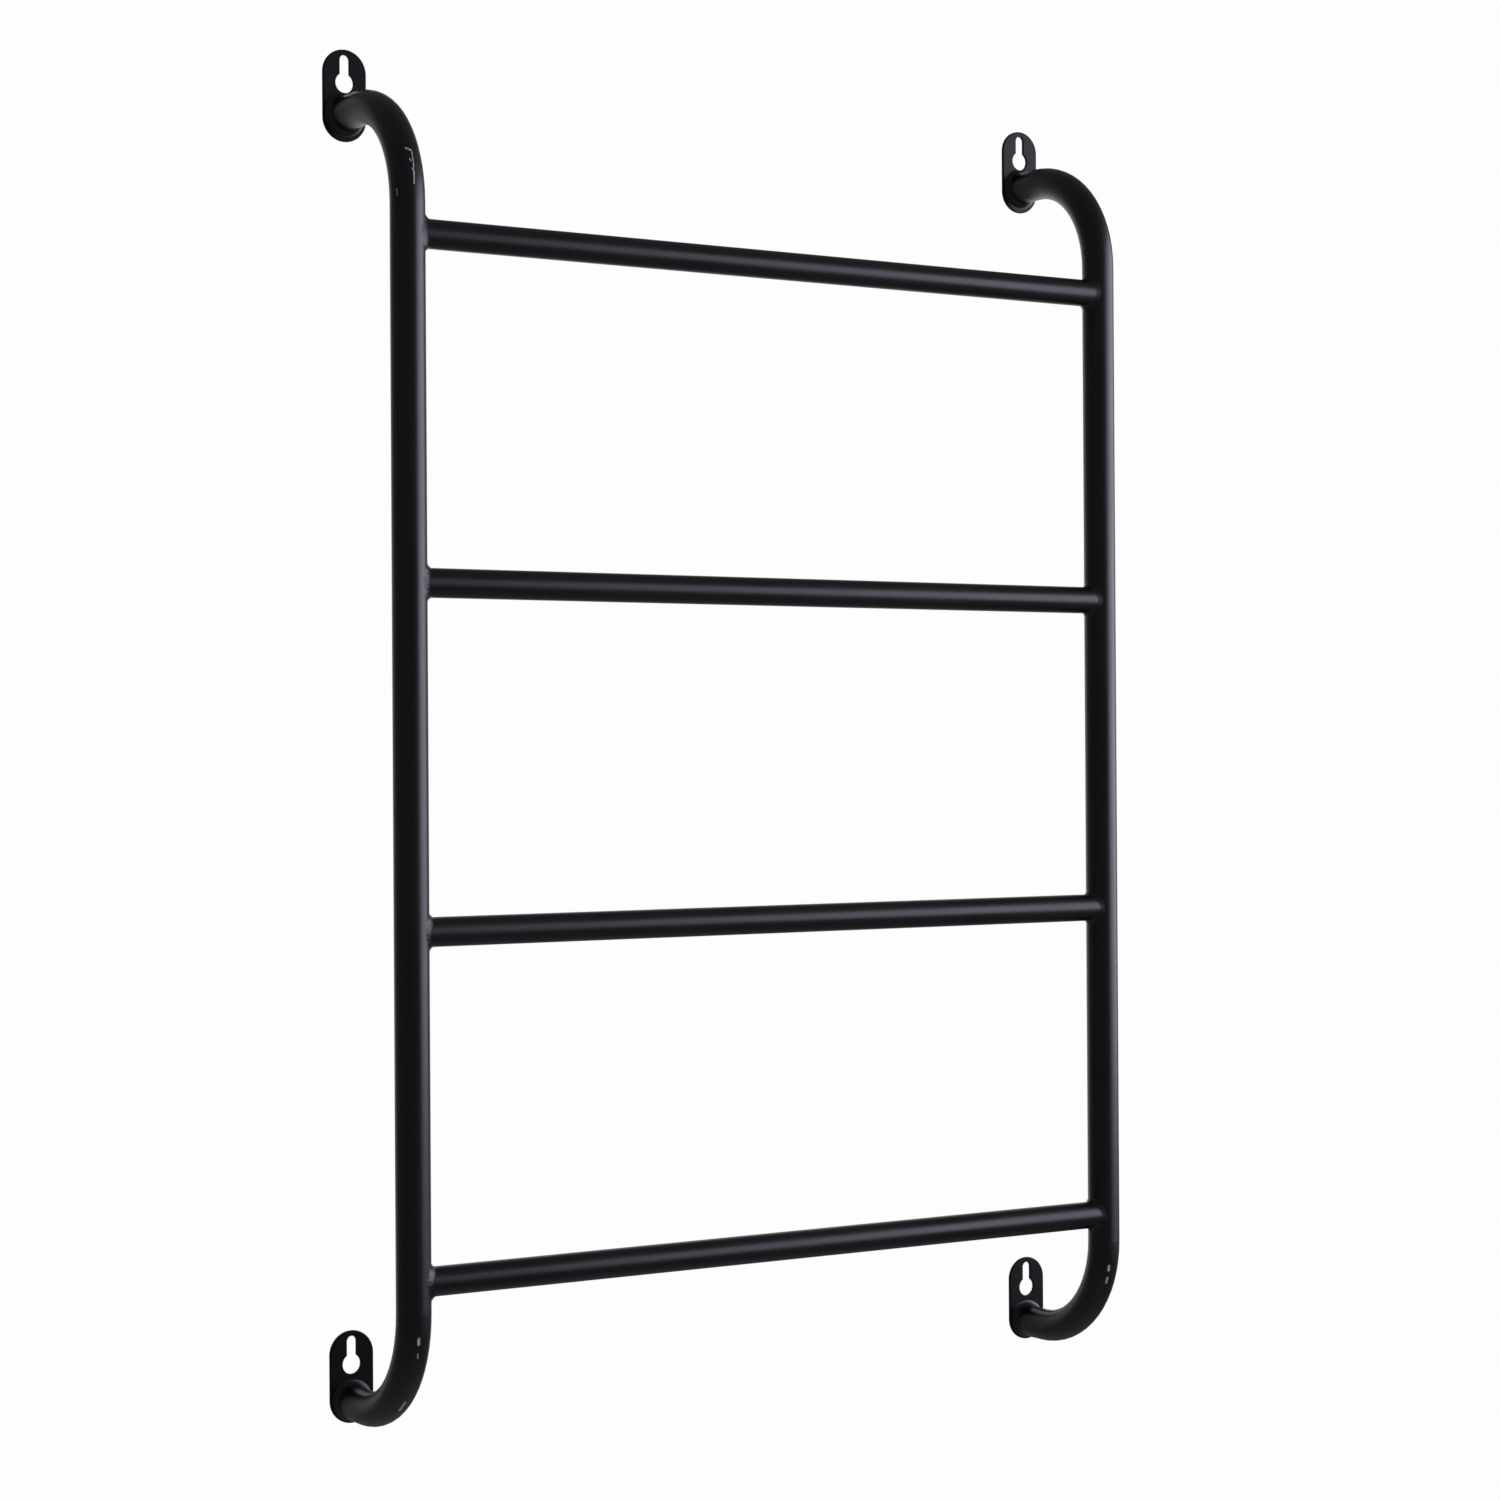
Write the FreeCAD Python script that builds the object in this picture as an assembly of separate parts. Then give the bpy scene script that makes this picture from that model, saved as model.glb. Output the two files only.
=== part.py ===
"""Wall-hung blanket ladder in welded steel tube, built as its fabricator cuts, bends and welds it.

Two side rails stand in front of the wall. Each is one round tube that turns back to the wall at
its top and its bottom through a quarter bend, and ends square on a flat hanging tab with a keyhole.
Four round rungs, coped to fit the rails' curve, run between them. A weld bead seals each joint, so
no tube's bore is open anywhere, and rails and rungs are solid inside here.

Frame: millimetres, +Z up, wall plane at Y = 0 with the ladder in front of it, towards -Y, and the
mirror plane at X = 0. The origin lies on the wall, midway between the four keyholes' round holes.
"""
import FreeCAD, Part
import math
import os

Vector = FreeCAD.Vector
X_AXIS = Vector(1, 0, 0)
Y_AXIS = Vector(0, 1, 0)
Z_AXIS = Vector(0, 0, 1)

# ---- Driving dimensions, mm -------------------------------------------------------------------
# Side rails
rail_diameter = 19.0
rail_spacing = 463.0          # between the two rails' axes
rail_standoff = 80.0          # from the wall to a rail's upright axis
bend_radius = 60.0            # to the tube's axis
hook_rise = 76.0              # from an end rung's axis to the axis of the run back to the wall

# Rungs
rung_count = 4
rung_pitch = 186.0
rung_diameter = 16.0

# Hanging tabs, flat strips with two round ends
tab_width = 26.0
tab_length = 51.0
tab_thickness = 2.0
top_tab_drop = 2.0            # lower end arc's centre, below the tube's axis at the top hooks
bottom_tab_lift = 1.5         # the same centre, above the tube's axis at the bottom hooks

# Keyholes: a screw head goes in at the round hole and slides up the slot
keyhole_head_diameter = 11.0
keyhole_slot_width = 5.8
keyhole_head_height = 19.5    # round hole's centre, above the tab's lower end arc's centre
keyhole_end_margin = 3.0      # metal left between the slot's end and the tab's upper end

# Weld beads
rung_weld_leg = 2.2           # along the rail and along the rung, from the line where they meet
tab_weld_leg = 3.4            # along the tab and along the rail
weld_hole_clearance = 0.3     # a tab's bead stays this far outside its keyhole

# ---- Sizes that follow ------------------------------------------------------------------------
rail_radius = rail_diameter / 2
rung_radius = rung_diameter / 2
tab_radius = tab_width / 2
tab_straight = tab_length - tab_width
head_radius = keyhole_head_diameter / 2
slot_radius = keyhole_slot_width / 2
slot_end_height = tab_straight + tab_radius - keyhole_end_margin - slot_radius
keyhole_travel = slot_end_height - keyhole_head_height

hook_half_height = (rung_count - 1) * rung_pitch / 2 + hook_rise
head_above_top_axis = keyhole_head_height - top_tab_drop
head_above_bottom_axis = keyhole_head_height + bottom_tab_lift
# Midway between the top and bottom round holes is Z = 0, so the rungs' middle sits a little lower.
middle_z = -(head_above_top_axis + head_above_bottom_axis) / 2

rail_x = {"left": -rail_spacing / 2, "right": rail_spacing / 2}
rail_axis_y = -rail_standoff
tube_end_y = -tab_thickness
hook_z = {"top": middle_z + hook_half_height, "bottom": middle_z - hook_half_height}
tab_arc_z = {"top": hook_z["top"] - top_tab_drop, "bottom": hook_z["bottom"] + bottom_tab_lift}
rung_z = [middle_z + ((rung_count - 1) / 2 - i) * rung_pitch for i in range(rung_count)]


# ---- Small helpers ----------------------------------------------------------------------------
def rod(radius, start, direction, length):
    """A solid round bar."""
    return Part.makeCylinder(radius, length, start, direction)


def obround(x, low_z, high_z, radius):
    """Closed outline on the wall plane: a half circle at each of two heights, joined by straights."""
    left_low, left_high = Vector(x - radius, 0, low_z), Vector(x - radius, 0, high_z)
    right_low, right_high = Vector(x + radius, 0, low_z), Vector(x + radius, 0, high_z)
    crown, foot = Vector(x, 0, high_z + radius), Vector(x, 0, low_z - radius)
    return Part.Wire([
        Part.LineSegment(left_low, left_high).toShape(),
        Part.Arc(left_high, crown, right_high).toShape(),
        Part.LineSegment(right_high, right_low).toShape(),
        Part.Arc(right_low, foot, left_low).toShape(),
    ])


def plate(outline, thickness):
    """Solid of an outline on the wall plane, standing forward from it."""
    return Part.Face(outline).extrude(Vector(0, -thickness, 0))


# ---- Side rails -------------------------------------------------------------------------------
def rail_path(x):
    """Axis of one rail: out from the top tab, round, down, round and back to the bottom tab."""
    top, bottom = hook_z["top"], hook_z["bottom"]
    bend_y = rail_axis_y + bend_radius
    diagonal = bend_radius * math.sqrt(0.5)
    top_centre = Vector(x, bend_y, top - bend_radius)
    bottom_centre = Vector(x, bend_y, bottom + bend_radius)
    top_start, top_end = Vector(x, bend_y, top), Vector(x, rail_axis_y, top_centre.z)
    bottom_start, bottom_end = Vector(x, rail_axis_y, bottom_centre.z), Vector(x, bend_y, bottom)
    return Part.Wire([
        Part.LineSegment(Vector(x, tube_end_y, top), top_start).toShape(),
        Part.Arc(top_start, top_centre + Vector(0, -diagonal, diagonal), top_end).toShape(),
        Part.LineSegment(top_end, bottom_start).toShape(),
        Part.Arc(bottom_start, bottom_centre + Vector(0, -diagonal, -diagonal), bottom_end).toShape(),
        Part.LineSegment(bottom_end, Vector(x, tube_end_y, bottom)).toShape(),
    ])


def make_rail(x):
    """Bent tube: a round section at the top tab, swept along the rail's axis."""
    start = Vector(x, tube_end_y, hook_z["top"])
    section = Part.Face(Part.Wire(Part.makeCircle(rail_radius, start, Y_AXIS)))
    return rail_path(x).makePipe(section)


# ---- Rungs ------------------------------------------------------------------------------------
def make_rung(z):
    """Straight tube between the rails' axes, each end coped to the rail's outside."""
    tube = rod(rung_radius, Vector(rail_x["left"], rail_axis_y, z), X_AXIS, rail_spacing)
    for x in rail_x.values():
        tube = tube.cut(rod(rail_radius, Vector(x, rail_axis_y, z - rung_diameter), Z_AXIS,
                            2 * rung_diameter))
    return tube


# ---- Hanging tabs -----------------------------------------------------------------------------
def tab_outline(side, end):
    low_z = tab_arc_z[end]
    return obround(rail_x[side], low_z, low_z + tab_straight, tab_radius)


def keyhole(side, end, clearance=0.0):
    """Cutter for a keyhole, through a tab and what lies in front of it."""
    x = rail_x[side]
    head_z = tab_arc_z[end] + keyhole_head_height
    depth = tab_thickness + tab_weld_leg
    head = rod(head_radius + clearance, Vector(x, 0, head_z), -Y_AXIS, depth)
    slot = plate(obround(x, head_z, head_z + keyhole_travel, slot_radius + clearance), depth)
    return head.fuse(slot).removeSplitter()


def make_tab(side, end):
    """Flat strip with round ends and a keyhole punched through it."""
    return plate(tab_outline(side, end), tab_thickness).cut(keyhole(side, end))


# ---- Weld beads -------------------------------------------------------------------------------
def make_rung_bead():
    """Saddle-shaped bead where a rung meets the left rail, with the two axes crossing at the origin.

    The rail and rung are joined as solid bars and the line where they meet is filled across. The
    bars are then taken away again, which leaves the bead alone, lying on both.
    """
    reach = rung_radius + 2 * rung_weld_leg
    rail_bar = rod(rail_radius, Vector(0, 0, -reach), Z_AXIS, 2 * reach)
    rung_bar = rod(rung_radius, Vector(0, 0, 0), X_AXIS, rail_radius + reach)
    joint = rail_bar.fuse(rung_bar)
    meeting_line = [edge for edge in joint.Edges if edge.Curve.TypeId == "Part::GeomBSplineCurve"]
    return joint.makeChamfer(rung_weld_leg, meeting_line).cut(rail_bar).cut(rung_bar)


def make_tab_bead(side, end):
    """Sloping ring round the rail's end, kept to the tab's face and clear of the keyhole."""
    x, z = rail_x[side], hook_z[end]
    ring = Part.makeCone(rail_radius + tab_weld_leg, rail_radius, tab_weld_leg,
                         Vector(x, tube_end_y, z), -Y_AXIS)
    ring = ring.cut(rod(rail_radius, Vector(x, tube_end_y, z), -Y_AXIS, tab_weld_leg))
    face_of_tab = plate(tab_outline(side, end), tab_thickness + tab_weld_leg)
    return ring.common(face_of_tab).cut(keyhole(side, end, weld_hole_clearance))


# ---- Every piece, one file each ---------------------------------------------------------------
def make_pieces():
    """Each node's name and its solids: one solid, or the two like beads of one rung or one height."""
    pieces = {}
    for side, x in rail_x.items():
        pieces[f"{side}_rail"] = [make_rail(x)]
    for end in hook_z:
        for side in rail_x:
            pieces[f"{end}_{side}_tab"] = [make_tab(side, end)]
        pieces[f"{end}_tab_welds"] = [make_tab_bead(side, end) for side in rail_x]

    left_bead = make_rung_bead()
    right_bead = left_bead.mirror(Vector(0, 0, 0), X_AXIS)
    for number, z in enumerate(rung_z, start=1):
        pieces[f"rung_{number}"] = [make_rung(z)]
        pieces[f"rung_{number}_welds"] = [
            left_bead.translated(Vector(rail_x["left"], rail_axis_y, z)),
            right_bead.translated(Vector(rail_x["right"], rail_axis_y, z)),
        ]
    return pieces


os.makedirs("parts", exist_ok=True)
for name, shapes in make_pieces().items():
    solids = [solid for shape in shapes for solid in shape.Solids]
    node = solids[0] if len(solids) == 1 else Part.makeCompound(solids)
    node.exportStep(f"parts/{name}.step")
    volume = sum(solid.Volume for solid in solids)
    print(f"{name:20s} {len(solids)} solids, valid {node.isValid()}, {volume / 1000:8.2f} cm3")
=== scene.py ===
# %% [markdown]
# # A wall-hung blanket ladder, powder coated black
#
# The real ladder is bent and welded from steel tube: two side rails that turn back to the wall,
# four rungs between them, and a flat tab with a keyhole on each of the four rail ends. After
# welding the whole frame is blasted and gets one satin black powder coat.
#
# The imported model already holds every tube, tab and weld at its true size. This lesson keeps the
# tubes as they are, makes the tabs and the welds again with the soft edges that a thick coat
# gives them, and then finishes, lights and frames the whole.

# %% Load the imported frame
import math

import bmesh
import bpy
from mathutils import Matrix, Vector


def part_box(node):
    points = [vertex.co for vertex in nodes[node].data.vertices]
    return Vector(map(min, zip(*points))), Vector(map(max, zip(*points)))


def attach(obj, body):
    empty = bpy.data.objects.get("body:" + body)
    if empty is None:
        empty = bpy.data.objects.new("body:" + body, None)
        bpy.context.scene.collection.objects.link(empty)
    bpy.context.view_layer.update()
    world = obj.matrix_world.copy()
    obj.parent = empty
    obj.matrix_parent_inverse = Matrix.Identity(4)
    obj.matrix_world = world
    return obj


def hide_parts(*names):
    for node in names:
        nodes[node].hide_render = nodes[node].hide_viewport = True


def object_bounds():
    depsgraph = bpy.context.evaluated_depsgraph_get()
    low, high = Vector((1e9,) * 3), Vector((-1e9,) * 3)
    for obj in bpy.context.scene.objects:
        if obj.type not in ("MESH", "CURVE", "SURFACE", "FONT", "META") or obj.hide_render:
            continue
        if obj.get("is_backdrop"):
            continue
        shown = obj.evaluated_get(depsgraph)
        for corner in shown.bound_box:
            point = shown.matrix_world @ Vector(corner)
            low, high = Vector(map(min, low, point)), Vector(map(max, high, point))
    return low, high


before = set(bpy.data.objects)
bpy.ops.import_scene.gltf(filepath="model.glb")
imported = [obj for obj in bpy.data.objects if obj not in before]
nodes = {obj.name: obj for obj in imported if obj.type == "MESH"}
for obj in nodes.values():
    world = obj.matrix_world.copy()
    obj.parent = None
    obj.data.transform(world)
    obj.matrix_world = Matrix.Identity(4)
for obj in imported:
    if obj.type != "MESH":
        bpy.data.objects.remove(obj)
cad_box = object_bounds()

print("nodes:", ", ".join(sorted(nodes)))

# %% [markdown]
# ## Sizes come from the frame
#
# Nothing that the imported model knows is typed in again. A rail's box gives its radius and its
# place, a rung's box its radius and its height, and a tab's box the flat strip's outline. Only
# what a box can't tell, such as the keyhole inside the tab, is a named size here.

# %% Read the tubes' radii and places
SIDES = ("left", "right")
ENDS = ("top", "bottom")
RUNGS = ("rung_1", "rung_2", "rung_3", "rung_4")


def middle(node):
    low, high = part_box(node)
    return (low + high) / 2


def size(node):
    low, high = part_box(node)
    return high - low


rail_radius = size("left_rail").x / 2
rung_radius = size("rung_1").z / 2
rail_x = {side: middle(f"{side}_rail").x for side in SIDES}
rail_y = middle("rung_1").y
rung_z = {rung: middle(rung).z for rung in RUNGS}
print(f"rail radius {rail_radius * 1000:.2f} mm, rung radius {rung_radius * 1000:.2f} mm")
print("rung heights, mm:", [round(z * 1000, 1) for z in rung_z.values()])

# %% Read the tabs' strip and the height of each hook
tab_size = size("top_left_tab")
tab_radius = tab_size.x / 2
tab_thickness = tab_size.y
tab_straight = tab_size.z - tab_size.x
tab_front_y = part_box("top_left_tab")[0].y
rail_low, rail_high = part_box("left_rail")
hook_z = {"top": rail_high.z - rail_radius, "bottom": rail_low.z + rail_radius}
tab_arc_z = {end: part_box(f"{end}_left_tab")[0].z + tab_radius for end in ENDS}
print(f"tab {tab_size.x * 1000:.1f} x {tab_size.z * 1000:.1f} x {tab_thickness * 1000:.1f} mm")

# %% [markdown]
# ## A few helpers for every new piece
#
# Each new piece is drawn as a bmesh, where operators spin, mirror and bevel without anything being
# selected. It becomes an object in one place only: the object stays at the origin, its place is in
# its mesh, it rides on the frame's one body, and the imported node that it stands for is hidden.


# %% Helper: a bmesh becomes an object at the origin
def linked_object(bm, name):
    mesh = bpy.data.meshes.new(name)
    bm.to_mesh(mesh)
    bm.free()
    thing = bpy.data.objects.new(name, mesh)
    bpy.context.scene.collection.objects.link(thing)
    print(f"{name}: {len(mesh.vertices)} vertices, {len(mesh.polygons)} faces")
    return thing


# %% Helper: a bmesh becomes a piece of the ladder
def finish_piece(bm, name, node):
    """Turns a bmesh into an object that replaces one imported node."""
    piece = linked_object(bm, name)
    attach(piece, "root")
    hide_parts(node)
    return piece


# %% Helper: an arc drawn by spinning one vertex
X_AXIS = Vector((1, 0, 0))
Y_AXIS = Vector((0, 1, 0))
Z_AXIS = Vector((0, 0, 1))
QUARTER = math.pi / 2


def vertices_of(geometry):
    return [part for part in geometry if isinstance(part, bmesh.types.BMVert)]


def spun_arc(bm, start, centre, axis, turn, steps):
    """Returns the arc's first and last vertices."""
    first = bm.verts.new(start)
    arc = bmesh.ops.spin(bm, geom=[first], cent=centre, axis=axis, dvec=(0, 0, 0),
                         angle=turn, steps=steps, use_merge=False, use_duplicate=False)
    return first, vertices_of(arc["geom_last"])[0]


# %% Helper: a mirror image on the other side of the ladder's middle
SAME_PLACE = 1e-6                 # metres: vertices closer than this are one
NOTHING_JOINED = -1


def add_mirror_image(bm, merge_distance):
    bmesh.ops.mirror(bm, geom=bm.verts[:] + bm.edges[:] + bm.faces[:], axis="X",
                     matrix=Matrix.Identity(4), merge_dist=merge_distance)


# %% [markdown]
# ## Hanging tabs
#
# Each tab is a 2 mm strip with two half-round ends and a keyhole, cut flat and then coated. The
# coat pulls back from a sharp corner and leaves it round, and that soft corner is what tells a
# coated part from a bare one.
#
# A box with a boolean hole would do, but it leaves ragged faces that a bevel can't follow. Here
# half of the front is drawn as arcs spun from single vertices, filled as one face, mirrored, given
# its thickness, and only then bevelled, so that the bevel runs clean round both outlines.

# %% Sizes of the keyhole and the softened corners, metres
KEYHOLE_HEAD_RADIUS = 0.0055
KEYHOLE_SLOT_RADIUS = 0.0029
KEYHOLE_HEAD_HEIGHT = 0.0195      # above the centre of the tab's lower end arc
KEYHOLE_TRAVEL = 0.0126           # from the round hole's centre up to the slot's end centre
TAB_EDGE_ROUND = 0.0006
KEYHOLE_EDGE_ROUND = 0.0003       # a punched edge is crisper than a cut and ground one
TAB_EDGE_SEGMENTS = 4
ARC_STEPS = 24                    # for each quarter turn


# %% Helper: half of a tab's front, as one face
def half_tab_face(bm, low_z):
    """One face for X above 0: outer arcs, keyhole arcs, and the straights that join them."""
    def arc(centre, rise, turn, steps):
        return spun_arc(bm, centre + Z_AXIS * rise, centre, Y_AXIS, turn, steps)

    low, high = Z_AXIS * low_z, Z_AXIS * (low_z + tab_straight)
    head = low + Z_AXIS * KEYHOLE_HEAD_HEIGHT
    slot = head + Z_AXIS * KEYHOLE_TRAVEL
    shoulder = math.asin(KEYHOLE_SLOT_RADIUS / KEYHOLE_HEAD_RADIUS)

    foot, foot_side = arc(low, -tab_radius, -QUARTER, ARC_STEPS)
    crown, crown_side = arc(high, tab_radius, QUARTER, ARC_STEPS)
    tip, tip_side = arc(slot, KEYHOLE_SLOT_RADIUS, QUARTER, ARC_STEPS)
    sole, neck = arc(head, -KEYHOLE_HEAD_RADIUS, shoulder - math.pi, 2 * ARC_STEPS)
    for one, other in ((foot_side, crown_side), (crown, tip), (tip_side, neck), (sole, foot)):
        bm.edges.new((one, other))
    bmesh.ops.edgeloop_fill(bm, edges=bm.edges[:])


# %% Helper: the sharp edges round a strip's two flat faces
SHARP_ANGLE = math.radians(80)


def sharp_rims(bm):
    """The edges of the thickness are sharp too, but their two ends differ in Y."""
    return [edge for edge in bm.edges if edge.calc_face_angle(0) > SHARP_ANGLE
            and abs(edge.verts[0].co.y - edge.verts[1].co.y) < SAME_PLACE]


def on_outline(edge, low_z):
    """True on the strip's outline, which lies one radius off its middle line."""
    x, _, z = (edge.verts[0].co + edge.verts[1].co) / 2
    nearest_z = min(max(z, low_z), low_z + tab_straight)
    return math.hypot(x, z - nearest_z) > tab_radius - TAB_EDGE_ROUND


def round_rims(bm, rims, radius):
    bmesh.ops.bevel(bm, geom=rims, offset=radius, segments=TAB_EDGE_SEGMENTS,
                    affect="EDGES", profile=0.5, material=-1)


# %% Make the four tabs
FLAT_NORMAL = 0.999               # a face that looks this squarely along Y is one of the flats


def make_tab(end, side):
    bm = bmesh.new()
    half_tab_face(bm, tab_arc_z[end])
    add_mirror_image(bm, SAME_PLACE)
    strip = bmesh.ops.extrude_face_region(bm, geom=bm.faces[:])
    bmesh.ops.translate(bm, verts=vertices_of(strip["geom"]), vec=(0, -tab_thickness, 0))
    bmesh.ops.recalc_face_normals(bm, faces=bm.faces[:])
    outline = [edge for edge in sharp_rims(bm) if on_outline(edge, tab_arc_z[end])]
    round_rims(bm, outline, TAB_EDGE_ROUND)
    round_rims(bm, sharp_rims(bm), KEYHOLE_EDGE_ROUND)
    bmesh.ops.translate(bm, verts=bm.verts[:], vec=(rail_x[side], 0, 0))
    for face in bm.faces:
        face.smooth = abs(face.normal.y) < FLAT_NORMAL
    return finish_piece(bm, f"{end}_{side}_tab_coated", f"{end}_{side}_tab")


tabs = [make_tab(end, side) for end in ENDS for side in SIDES]

# %% [markdown]
# ## Weld beads
#
# Under the coat each joint has a fillet weld: a small hollow of metal that fills the corner and
# runs out on both pieces. Its surface is a row of frozen ripples, softened by the coat.
#
# A torus sunk into the joint would look like a rubber ring. A real bead follows the corner, so
# each one starts as a plain ring, spun from a short line, and every vertex of the ring is then
# seated: from its turn round the joint and its place along the line it gets a point on a curve
# from one piece, past the corner, to the other. Where the corner is open, as at a rung's flanks,
# the same rule makes the bead flat and thin by itself.

# %% Sizes of the beads, metres
RUNG_BEAD_ON_RUNG = 0.0036
RUNG_BEAD_ON_RAIL = 0.0038
TAB_BEAD_ON_TAB = 0.0036
TAB_BEAD_ON_RAIL = 0.0040
BEAD_FULLNESS = 0.22              # 0 is a hollow fillet, 1 a straight slope
TOE_SINK = 0.00008                # its two edges start just under the skin of the metal
BEAD_SINK = 0.0004                # how deep its hidden side lies in the metal
RIPPLE_HEIGHT = 0.00003
RIPPLE_LENGTH = 0.0022
RIPPLE_BOW = 5                    # bends each ripple, as they trail behind a moving torch
BEAD_STEPS = 144
BEAD_BANDS = 10
HIDDEN_CORNER = 2                 # marks the vertices under the skin: the face has only 0 to 1


# %% Helper: a ring to be seated, with its place along the bead kept as its X
def plain_ring(bm):
    """A closed ring: X from 0 to 1 runs across the bead's face, and one more X is its back."""
    line = [bm.verts.new((band / BEAD_BANDS, 0, 1)) for band in range(BEAD_BANDS + 1)]
    line.append(bm.verts.new((HIDDEN_CORNER, 0, 1)))
    loop = [bm.edges.new(pair) for pair in zip(line, line[1:] + line[:1])]
    bmesh.ops.spin(bm, geom=line + loop, cent=(0, 0, 0), axis=X_AXIS, dvec=(0, 0, 0),
                   angle=2 * math.pi, steps=BEAD_STEPS, use_merge=True, use_duplicate=False)


# %% Helper: seat a ring in its corner
def seat_ring(bm, corner_at, length_round):
    """corner_at(turn) gives the corner, the toes on both pieces, and the way into the metal."""
    ripples = round(length_round / RIPPLE_LENGTH)
    for vert in bm.verts:
        turn = math.atan2(vert.co.y, vert.co.z)
        across = vert.co.x
        corner, first_toe, second_toe, inward = corner_at(turn)
        if round(across) == HIDDEN_CORNER:
            vert.co = corner + inward * BEAD_SINK
            continue
        hollow = (first_toe * (1 - across) ** 2 + corner * 2 * across * (1 - across)
                  + second_toe * across ** 2)
        slope = first_toe.lerp(second_toe, across)
        lift = math.sin(math.pi * across)
        wave = math.cos(ripples * turn + RIPPLE_BOW * (across - 0.5) ** 2)
        point = hollow.lerp(slope, BEAD_FULLNESS * lift)
        vert.co = point - inward * (RIPPLE_HEIGHT * lift ** 2 * wave)


# %% Helper: one bead on the left rail and its like on the right, as one piece
def make_bead_pair(name, corner_at, tube_radius, y=0.0, z=0.0):
    bm = bmesh.new()
    plain_ring(bm)
    seat_ring(bm, corner_at, 2 * math.pi * tube_radius)
    bmesh.ops.translate(bm, verts=bm.verts[:], vec=(rail_x["left"], y, z))
    add_mirror_image(bm, NOTHING_JOINED)
    bmesh.ops.recalc_face_normals(bm, faces=bm.faces[:])
    for face in bm.faces:
        face.smooth = True
    return finish_piece(bm, f"{name}_beads", f"{name}_welds")


# %% Helper: the corner between a rung and its rail
def rung_corner(turn):
    """The rung runs along +X out of a rail along Z, with the two axes crossing at the origin."""
    across, up = rung_radius * math.sin(turn), rung_radius * math.cos(turn)
    wrap = math.asin(across / rail_radius)
    corner = Vector((rail_radius * math.cos(wrap), across, up))
    way = Vector((0, math.sin(turn), math.cos(turn)))
    on_rung = corner + Vector((RUNG_BEAD_ON_RUNG, 0, 0)) - way * TOE_SINK
    wrap += way.y * RUNG_BEAD_ON_RAIL / rail_radius
    skin = rail_radius - TOE_SINK
    on_rail = Vector((skin * math.cos(wrap), skin * math.sin(wrap),
                      up + way.z * RUNG_BEAD_ON_RAIL))
    inward = -(X_AXIS + way).normalized()
    return corner, on_rail, on_rung, inward


# %% Make the eight rung beads, two to a piece
rung_beads = [make_bead_pair(rung, rung_corner, rung_radius, rail_y, rung_z[rung])
              for rung in RUNGS]

# %% Helper: how far a tab's bead may spread
EDGE_MARGIN = 0.0004              # it stops this far inside the outline and off the keyhole
REACH_STEP = EDGE_MARGIN / 8


def room_on_tab(turn, end):
    """From the rail's axis out to the bead's toe, kept on the strip and off the keyhole."""
    axis_above_arc = hook_z[end] - tab_arc_z[end]
    reach = rail_radius + TAB_BEAD_ON_TAB
    while reach > rail_radius:
        x, z = reach * math.sin(turn), reach * math.cos(turn) + axis_above_arc
        off_strip = math.hypot(x, min(z, 0)) > tab_radius - EDGE_MARGIN
        in_hole = math.hypot(x, z - KEYHOLE_HEAD_HEIGHT) < KEYHOLE_HEAD_RADIUS + EDGE_MARGIN
        if not (off_strip or in_hole):
            break
        reach -= REACH_STEP
    return reach


# %% Helper: the corner between a rail's end and its tab
def tab_corner(end):
    """The rail comes out of the tab along -Y, at its hook's height."""
    def corner_at(turn):
        way = Vector((math.sin(turn), 0, math.cos(turn)))
        corner = Vector((0, tab_front_y, hook_z[end])) + way * rail_radius
        on_tab = corner + way * (room_on_tab(turn, end) - rail_radius) + Y_AXIS * TOE_SINK
        on_rail = corner - Y_AXIS * TAB_BEAD_ON_RAIL - way * TOE_SINK
        return corner, on_tab, on_rail, (Y_AXIS - way).normalized()

    return corner_at


# %% Make the four tab beads, two to a piece
tab_beads = [make_bead_pair(f"{end}_tab", tab_corner(end), rail_radius) for end in ENDS]

# %% [markdown]
# ## The powder coat
#
# Satin black powder is never one flat black. It flows into a faint orange peel, its gloss drifts
# from place to place, and handling leaves it a little duller here and shinier there. All of it is
# read from Object coordinates, and since every object sits at the origin the pattern runs on from
# tube to weld to tab without a step, as one coat does.

# %% Values of the coat
COAT_COLOUR_LOW = (0.0030, 0.0030, 0.0034, 1)
COAT_COLOUR_HIGH = (0.0060, 0.0059, 0.0068, 1)
COAT_ROUGHNESS_LOW = 0.31
COAT_ROUGHNESS_HIGH = 0.38
COAT_SPECULAR = 0.47
TAB_SPECULAR = 0.18               # the flat tabs are duller than the tubes
COAT_GLOSS_TINT = (0.90, 0.88, 1.0, 1)    # what the coat reflects looks a little cool
DRIFT_PER_METRE = 14
DRIFT_DETAIL = 4
DRIFT_NOISE = (0.3, 0.7)          # the noise seldom leaves this range
PEEL_PER_METRE = 520
PEEL_DEPTH = 0.00003
GRAIN_PER_METRE = 2600
GRAIN_DEPTH = 0.000006


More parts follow.
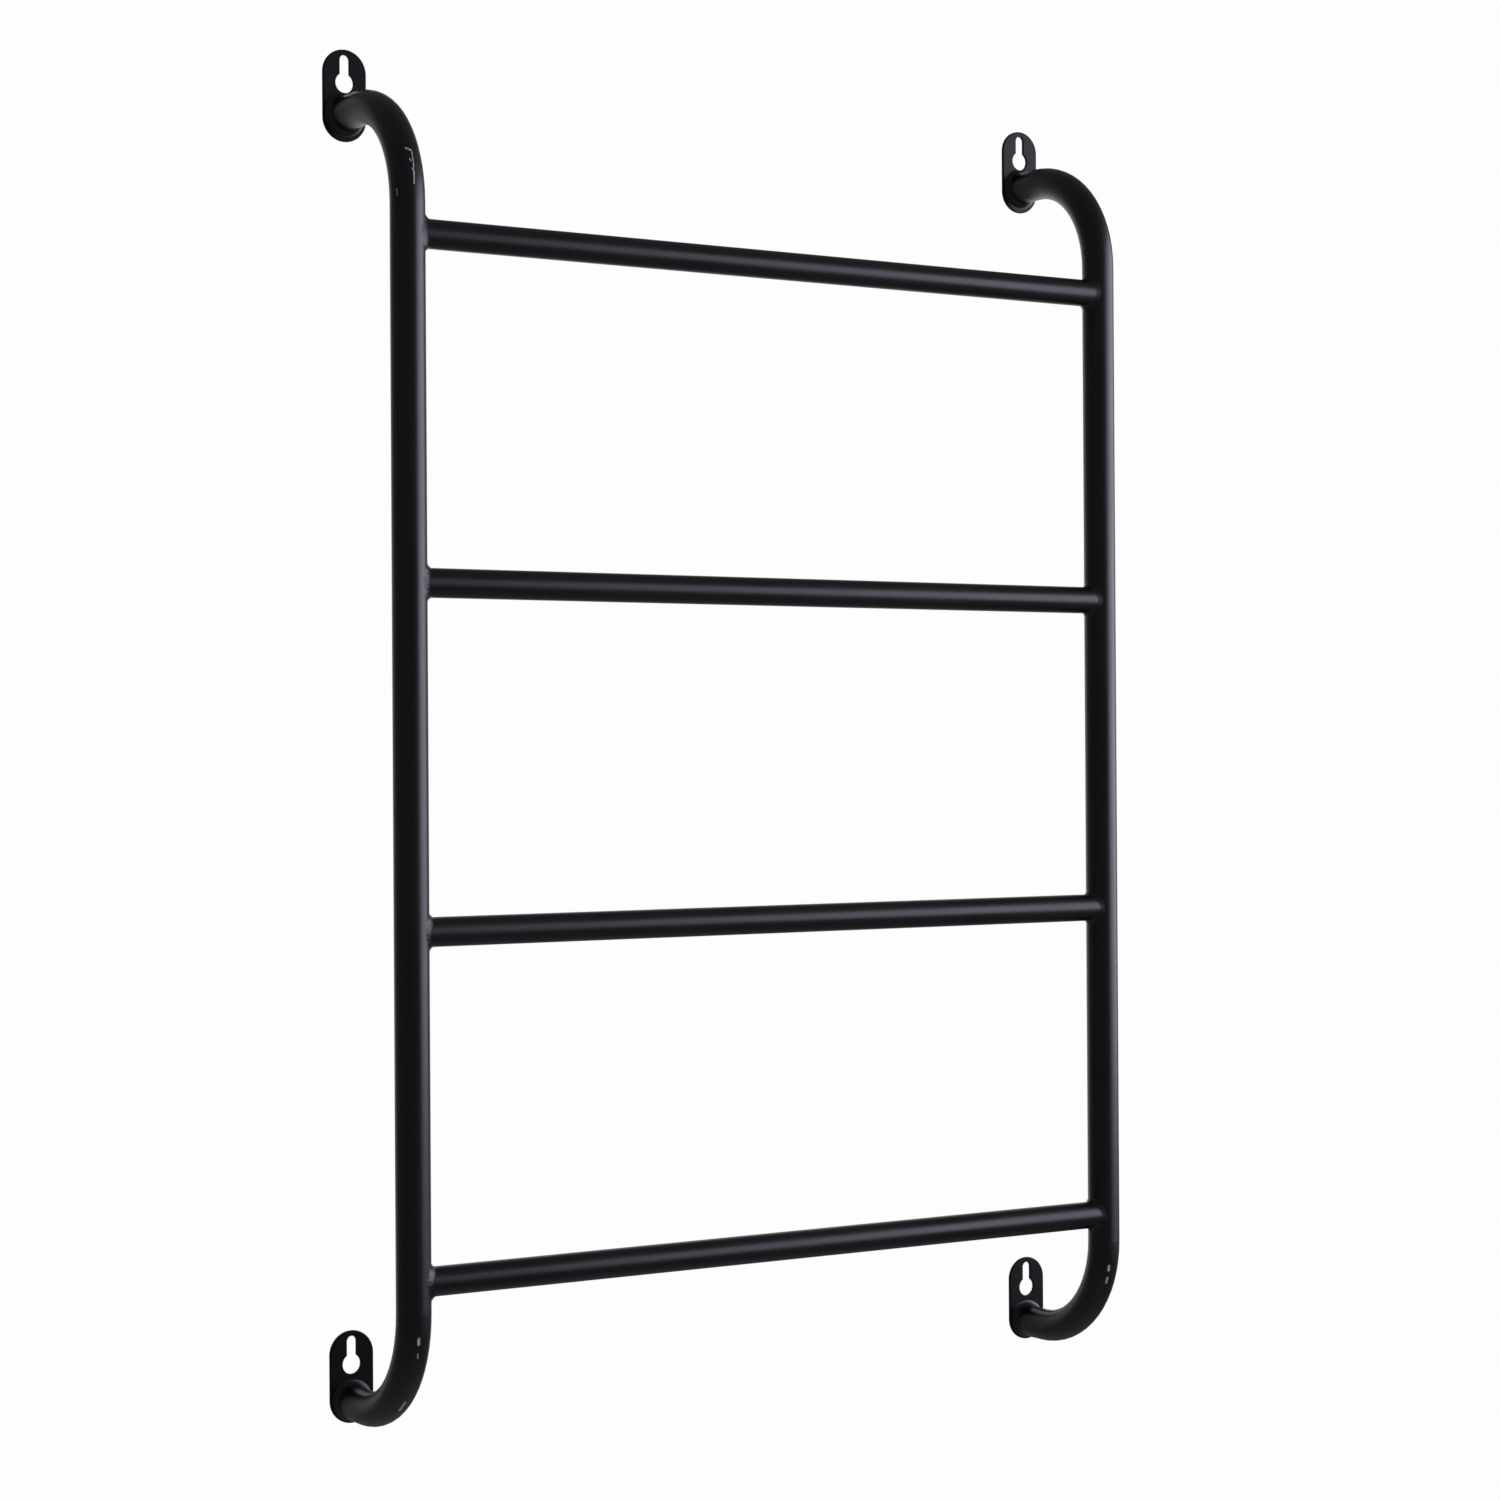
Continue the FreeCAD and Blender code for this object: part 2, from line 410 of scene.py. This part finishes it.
# %% Helper: short ways to add and wire shader nodes
class Shader:
    """A material's node tree with the few moves that this lesson needs."""

    def __init__(self, name):
        self.material = bpy.data.materials.new(name)
        self.material.use_nodes = True
        self.tree = self.material.node_tree
        self.surface = self.tree.nodes["Principled BSDF"]
        self.place = self.add("ShaderNodeTexCoord").outputs["Object"]

    def add(self, kind, **settings):
        node = self.tree.nodes.new(kind)
        for key, value in settings.items():
            setattr(node, key, value)
        return node

    def wire(self, source, target):
        """Links another node's output, or sets a plain value."""
        if hasattr(source, "is_output"):
            self.tree.links.new(source, target)
        else:
            target.default_value = source

    def noise(self, per_metre, detail=2.0):
        node = self.add("ShaderNodeTexNoise")
        self.wire(self.place, node.inputs["Vector"])
        node.inputs["Scale"].default_value = per_metre
        node.inputs["Detail"].default_value = detail
        return node.outputs["Fac"]

    def spread(self, value, low, high, new_low=0.0, new_high=1.0):
        """Moves a value from one range to another, and keeps it inside the new one."""
        node = self.add("ShaderNodeMapRange")
        for socket, entry in zip(node.inputs, (value, low, high, new_low, new_high)):
            self.wire(entry, socket)
        return node.outputs["Result"]

    def maths(self, operation, first, second):
        node = self.add("ShaderNodeMath", operation=operation)
        self.wire(first, node.inputs[0])
        self.wire(second, node.inputs[1])
        return node.outputs["Value"]

    def vector(self, operation, *entries):
        node = self.add("ShaderNodeVectorMath", operation=operation)
        for socket, entry in zip(node.inputs, entries):
            self.wire(entry, socket)
        return node.outputs["Value" if operation in ("DOT_PRODUCT", "LENGTH") else "Vector"]

    def blend(self, share, first, second):
        node = self.add("ShaderNodeMix", data_type="RGBA")
        self.wire(share, node.inputs["Factor"])
        self.wire(first, node.inputs["A"])
        self.wire(second, node.inputs["B"])
        return node.outputs["Result"]

    def bump(self, height, depth, below=None):
        node = self.add("ShaderNodeBump")
        self.wire(height, node.inputs["Height"])
        node.inputs["Distance"].default_value = depth
        if below is not None:
            self.wire(below, node.inputs["Normal"])
        return node.outputs["Normal"]


# %% Helper: a coat, with its own share of gloss
class PowderCoat(Shader):
    """Drift, orange peel and fine grain, left open so that painted glints can still be added."""

    def __init__(self, name, specular):
        super().__init__(name)
        drift = self.spread(self.noise(DRIFT_PER_METRE, detail=DRIFT_DETAIL), *DRIFT_NOISE)
        self.colour = self.blend(drift, COAT_COLOUR_LOW, COAT_COLOUR_HIGH)
        self.roughness = self.spread(drift, 0, 1, COAT_ROUGHNESS_LOW, COAT_ROUGHNESS_HIGH)
        self.surface.inputs["Specular IOR Level"].default_value = specular
        self.surface.inputs["Specular Tint"].default_value = COAT_GLOSS_TINT
        peel = self.bump(self.noise(PEEL_PER_METRE), PEEL_DEPTH)
        self.relief = self.bump(self.noise(GRAIN_PER_METRE), GRAIN_DEPTH, below=peel)

    def close(self):
        """Wires colour, gloss and relief to the surface, and returns the material."""
        self.wire(self.colour, self.surface.inputs["Base Color"])
        self.wire(self.roughness, self.surface.inputs["Roughness"])
        self.wire(self.relief, self.surface.inputs["Normal"])
        return self.material


# %% Coat the rungs, the beads and the tabs
plain_coat = PowderCoat("powder_coat", COAT_SPECULAR).close()
tab_coat = PowderCoat("powder_coat_on_flats", TAB_SPECULAR).close()
beads = rung_beads + tab_beads
for piece in beads:
    piece.data.materials.append(plain_coat)
for piece in tabs:
    piece.data.materials.append(tab_coat)
for rung in RUNGS:
    nodes[rung].material_slots[0].material = plain_coat
print(f"coated: {len(RUNGS)} rungs, {len(beads)} pairs of beads, {len(tabs)} tabs")

# %% [markdown]
# ## Painted glints on the bends
#
# Small lamps glint on the tubes' bends in a few bright specks: a cluster on the upper left, and a
# few short ones on the lower bends. These highlights are painted into the coat as near-white lines
# over shallow dents, so they stay in the same place in every view. A painted texture could hold
# them, but nothing here may read an image.
#
# Each painted glint is a short line on the tube's skin. Its two ends are given as a workman would
# chalk them, by the angle along the bend and the turn round the tube, and the shader measures how
# far every point of the coat lies from that line.

# %% The painted glints: side, end, two places as (angle along the bend, turn), half width in metres
BEND_RADIUS = 0.060
PAINTED_GLINTS = (
    ("left", "top", (23.8, -14.0), (22.8, 2.0), 0.00080),
    ("left", "top", (22.0, 4.0), (14.0, 2.5), 0.00042),
    ("left", "top", (18.4, -7.5), (17.6, -4.5), 0.00050),
    ("left", "top", (14.0, -3.5), (12.6, 1.5), 0.00055),
    ("left", "top", (12.6, 1.5), (7.0, -1.5), 0.00050),
    ("left", "top", (5.0, -61.5), (2.0, -60.0), 0.00045),
    ("left", "bottom", (10.2, -6.2), (12.6, -5.8), 0.00110),
    ("left", "bottom", (17.0, -4.6), (19.2, -3.2), 0.00045),
    ("left", "bottom", (44.5, -1.0), (51.5, -5.0), 0.00085),
    ("right", "bottom", (12.4, -12.3), (14.4, -11.9), 0.00120),
    ("right", "bottom", (18.6, -10.6), (21.4, -11.5), 0.00090),
)


# %% Helper: a place on a bend's skin
def bend_place(side, end, along, turn):
    upward = 1 if end == "top" else -1
    along, turn = math.radians(along), math.radians(turn)
    centre = Vector((rail_x[side], rail_y + BEND_RADIUS, hook_z[end] - upward * BEND_RADIUS))
    outward = Vector((0, -math.cos(along), upward * math.sin(along)))
    skin = outward * math.cos(turn) + X_AXIS * math.sin(turn)
    return centre + outward * BEND_RADIUS + skin * rail_radius


# %% Helper: how strongly a point of the coat lies on a painted glint
GLINT_CORE = 0.15                  # share of the half width that is painted in full


def painted_glint_strength(coat, start, finish, half_width):
    """1 on the line between two places, down to 0 at the half width from it."""
    line = finish - start
    from_start = coat.vector("SUBTRACT", coat.place, start)
    share = coat.spread(coat.vector("DOT_PRODUCT", from_start, line / line.length_squared), 0, 1)
    aside = coat.vector("SUBTRACT", from_start, coat.vector("MULTIPLY", line, share))
    return coat.spread(coat.vector("LENGTH", aside), half_width * GLINT_CORE, half_width, 1, 0)


# %% Coat the rails, with the painted glints
PAINTED_GLINT_COLOUR = (0.93, 0.93, 0.95, 1)       # painted highlight: near-white where small lamps glint on the bends
GLINT_ROUGHNESS = 0.45
GLINT_DENT_DEPTH = 0.00022
GLINT_BREAKS_PER_METRE = 1100
GLINT_BREAKS_NOISE = (0.35, 0.6)           # where the noise is low, a painted glint is broken up
GLINT_FAINTEST = 0.35

rail_coat = PowderCoat("powder_coat_with_painted_glints", COAT_SPECULAR)
painted_glint = 0.0
for side, end, first, last, half_width in PAINTED_GLINTS:
    strength = painted_glint_strength(rail_coat, bend_place(side, end, *first),
                             bend_place(side, end, *last), half_width)
    painted_glint = rail_coat.maths("MAXIMUM", strength, painted_glint)
breaks = rail_coat.noise(GLINT_BREAKS_PER_METRE)
kept = rail_coat.spread(breaks, *GLINT_BREAKS_NOISE, GLINT_FAINTEST, 1)
painted_glint = rail_coat.maths("MULTIPLY", painted_glint, kept)
# Painted highlights: along each glint line the coat's colour turns near-white, its roughness rises,
# and a shallow dent is pressed in.
rail_coat.colour = rail_coat.blend(painted_glint, rail_coat.colour, PAINTED_GLINT_COLOUR)
rail_coat.roughness = rail_coat.spread(painted_glint, 0, 1, rail_coat.roughness, GLINT_ROUGHNESS)
rail_coat.relief = rail_coat.bump(painted_glint, -GLINT_DENT_DEPTH, below=rail_coat.relief)
coat_with_painted_glints = rail_coat.close()
for side in SIDES:
    nodes[f"{side}_rail"].material_slots[0].material = coat_with_painted_glints
print("painted glints:", len(PAINTED_GLINTS))

# %% [markdown]
# ## A plain studio
#
# The ladder hangs, so the floor lies well below it, and runs up behind it in one curved sheet, a
# cove, so that no line shows where floor and backdrop meet. Two planes would show their corner,
# and a bevelled box would need its other sides taken away again. A line, an arc and a line, drawn
# out to both sides, are all that a sheet of paper needs.

# %% Sizes of the cove, metres
FLOOR_Z = -1.6
FLOOR_FRONT = -25.0
COVE_RADIUS = 1.0
COVE_STEPS = 24
BACKDROP_Y = 3.3
BACKDROP_TOP = 2.4
SHEET_LEFT = -20.0
SHEET_RIGHT = 20.0


# %% Make the cove
def make_cove():
    bm = bmesh.new()
    front = bm.verts.new((SHEET_LEFT, FLOOR_FRONT, FLOOR_Z))
    arc_start = Vector((SHEET_LEFT, BACKDROP_Y - COVE_RADIUS, FLOOR_Z))
    arc_centre = arc_start + Z_AXIS * COVE_RADIUS
    foot, head = spun_arc(bm, arc_start, arc_centre, X_AXIS, QUARTER, COVE_STEPS)
    bm.edges.new((front, foot))
    bm.edges.new((head, bm.verts.new((SHEET_LEFT, BACKDROP_Y, BACKDROP_TOP))))
    drawn = bmesh.ops.extrude_edge_only(bm, edges=bm.edges[:])
    bmesh.ops.translate(bm, verts=vertices_of(drawn["geom"]),
                        vec=(SHEET_RIGHT - SHEET_LEFT, 0, 0))
    bmesh.ops.recalc_face_normals(bm, faces=bm.faces[:])
    for face in bm.faces:
        face.smooth = True
    cove = linked_object(bm, "cove")
    cove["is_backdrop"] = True
    return cove


cove = make_cove()

# %% [markdown]
# ## Paper that is white for one camera
#
# A dark glossy coat shows whatever surrounds it, and in an all-white room black tubes turn grey. A
# photographer lights the backdrop and keeps the rest of the room dim. More lamps on the backdrop
# would spill on the ladder, so the paper does it by itself here: it is white only where the camera
# looks past the ladder, and fades to a plain pale grey around that. The white is a strength just
# under 1 that only the camera and reflections meet, so it throws no light on the ladder.

# %% What the camera sees, from where it stands
CAMERA_PLACE = Vector((-0.97603, -1.61720, -0.02107))
CAMERA_AZIMUTH = 31.897           # degrees from +Y towards +X
FOCAL_PIXELS = 3200.3
FRAME_PIXELS = 1500
half_view = math.degrees(math.atan(FRAME_PIXELS / 2 / FOCAL_PIXELS))
print(f"the picture reaches {half_view:.2f} degrees to each side")


# %% Helper: a direction, by its turn from +Y towards +X and its rise, in degrees
def heading(azimuth, elevation):
    turn, rise = math.radians(azimuth), math.radians(elevation)
    return Vector((math.sin(turn) * math.cos(rise), math.cos(turn) * math.cos(rise),
                   math.sin(rise)))


# %% Helper: a fade across the paper
paper = Shader("cove_paper")


def fade_along(way, start, fade):
    """0 to 1 between two distances from a start, measured along a way."""
    from_start = paper.vector("SUBTRACT", paper.place, start)
    return paper.spread(paper.vector("DOT_PRODUCT", from_start, way), *fade)


# %% The white patch: its left end by X, its other ends beside the picture's edges
FADE_LEFT = (-2.2, 0.4)           # in X, long and soft, and done before the picture begins
FADE_RIGHT = (-0.6, -0.12)        # metres outside the picture's right edge
FADE_BELOW = (-0.5, -0.08)        # metres under the picture's lower edge

in_from_right = heading(CAMERA_AZIMUTH + half_view - 90, 0)
up_from_below = heading(CAMERA_AZIMUTH, 90 - half_view)
patch = fade_along(X_AXIS, Vector((0, 0, 0)), FADE_LEFT)
patch = paper.maths("MULTIPLY", patch, fade_along(in_from_right, CAMERA_PLACE, FADE_RIGHT))
patch = paper.maths("MULTIPLY", patch, fade_along(up_from_below, CAMERA_PLACE, FADE_BELOW))

# %% The white is there to be seen, directly or in a gloss, and lights nothing
WHITE = (1, 1, 1, 1)
BLACK = (0, 0, 0, 1)
PATCH_WHITE = 0.983

rays = paper.add("ShaderNodeLightPath").outputs
seen = paper.maths("MAXIMUM", rays["Is Camera Ray"], rays["Is Glossy Ray"])
seen = paper.maths("MAXIMUM", seen, rays["Is Transmission Ray"])
patch = paper.maths("MULTIPLY", patch, seen)
glow = paper.maths("MULTIPLY", patch, PATCH_WHITE)
paper.wire(glow, paper.surface.inputs["Emission Strength"])
paper.surface.inputs["Emission Color"].default_value = WHITE
paper.material.cycles.emission_sampling = "NONE"

# %% Matt paper everywhere else, paler far away, where it meets the room without a line
PAPER_PALE = (0.75, 0.75, 0.75, 1)
FAR_FADE = (3.5, 11.0)            # metres from the ladder
PAPER_ROUGHNESS = 1.0
PAPER_SPECULAR = 0.0

far_off = paper.spread(paper.vector("LENGTH", paper.place), *FAR_FADE)
plain = paper.blend(far_off, PAPER_PALE, WHITE)
paper.wire(paper.blend(patch, plain, BLACK), paper.surface.inputs["Base Color"])
paper.surface.inputs["Roughness"].default_value = PAPER_ROUGHNESS
paper.surface.inputs["Specular IOR Level"].default_value = PAPER_SPECULAR
cove.data.materials.append(paper.material)
print("cove paper:", len(paper.tree.nodes), "shader nodes")

# %% [markdown]
# ## A dim room and one soft box
#
# The real ladder shows one broad, soft, slightly cool reflection down the right of each rail and
# along each rung. Many lamps would give many thin lines. A single large soft box, to the right and
# a little in front, gives the broad one, and a dim room keeps the shaded sides nearly black. The
# soft box has a grid, as in a studio, so that little of its light falls on the floor.

# %% The room's own light
WORLD_LEVEL = 0.15

world = bpy.data.worlds.new("room")
bpy.context.scene.world = world
world.use_nodes = True
background = world.node_tree.nodes["Background"]
background.inputs["Color"].default_value = WHITE
background.inputs["Strength"].default_value = WORLD_LEVEL
print("room level:", WORLD_LEVEL)

# %% The soft box, metres and degrees
BOX_AZIMUTH = 117.5               # degrees from +Y towards +X
BOX_ELEVATION = 9.4
BOX_DISTANCE = 2.1                # from the middle of the ladder's front
BOX_WIDTH = 2.65
BOX_HEIGHT = 1.52
BOX_WATTS = 29.0
BOX_SPREAD = 130                  # degrees, the whole angle that the grid lets through
BOX_COLOUR = (0.91, 0.895, 1.0)   # a little cool

light = bpy.data.lights.new("soft_box", "AREA")
light.shape = "RECTANGLE"
light.size, light.size_y = BOX_WIDTH, BOX_HEIGHT
light.color = BOX_COLOUR
light.energy = BOX_WATTS
light.spread = math.radians(BOX_SPREAD)
soft_box = bpy.data.objects.new("soft_box", light)
bpy.context.scene.collection.objects.link(soft_box)
soft_box.location = Vector((0, rail_y, 0)) + heading(BOX_AZIMUTH, BOX_ELEVATION) * BOX_DISTANCE
soft_box.rotation_mode = "QUATERNION"
soft_box.rotation_quaternion = heading(BOX_AZIMUTH, 0).to_track_quat("Z", "Y")
print("soft box at", [round(value, 2) for value in soft_box.location])

# %% [markdown]
# ## The camera
#
# It stands to the left of the ladder, level with its middle, and looks 32 degrees across the wall
# through a portrait lens. Its turn is built from its own right, up and forward directions, because
# those say at once what a set of three rotation angles hides.

# %% Camera
CAMERA_ELEVATION = 0.16           # degrees
CAMERA_ROLL = -0.0060             # radians
SENSOR = 36.0                     # millimetres

camera_data = bpy.data.cameras.new("camera")
camera_data.sensor_width = SENSOR
camera_data.lens = FOCAL_PIXELS / FRAME_PIXELS * SENSOR
camera = bpy.data.objects.new("camera", camera_data)
bpy.context.scene.collection.objects.link(camera)
bpy.context.scene.camera = camera
forward = heading(CAMERA_AZIMUTH, CAMERA_ELEVATION)
level_right = heading(CAMERA_AZIMUTH + 90, 0)
level_up = level_right.cross(forward)
right = level_right * math.cos(CAMERA_ROLL) + level_up * math.sin(CAMERA_ROLL)
up = right.cross(forward)
turned = Matrix((right, up, -forward)).transposed().to_4x4()
camera.matrix_world = Matrix.Translation(CAMERA_PLACE) @ turned
bpy.context.scene.view_settings.view_transform = "Standard"
print(f"lens {camera_data.lens:.1f} mm")

# %% [markdown]
# ## The two sizes side by side
#
# The dressed ladder has to be as large as the imported one. Both boxes are measured in the same
# way, once before anything was made and once now that everything is in place, and the largest gap
# between their corners is printed.

# %% Compare the sizes and close
dressed_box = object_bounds()
largest_gap = max((dressed - cad).length for cad, dressed in zip(cad_box, dressed_box))
print(f"the two boxes agree within {largest_gap * 1000:.3f} mm")
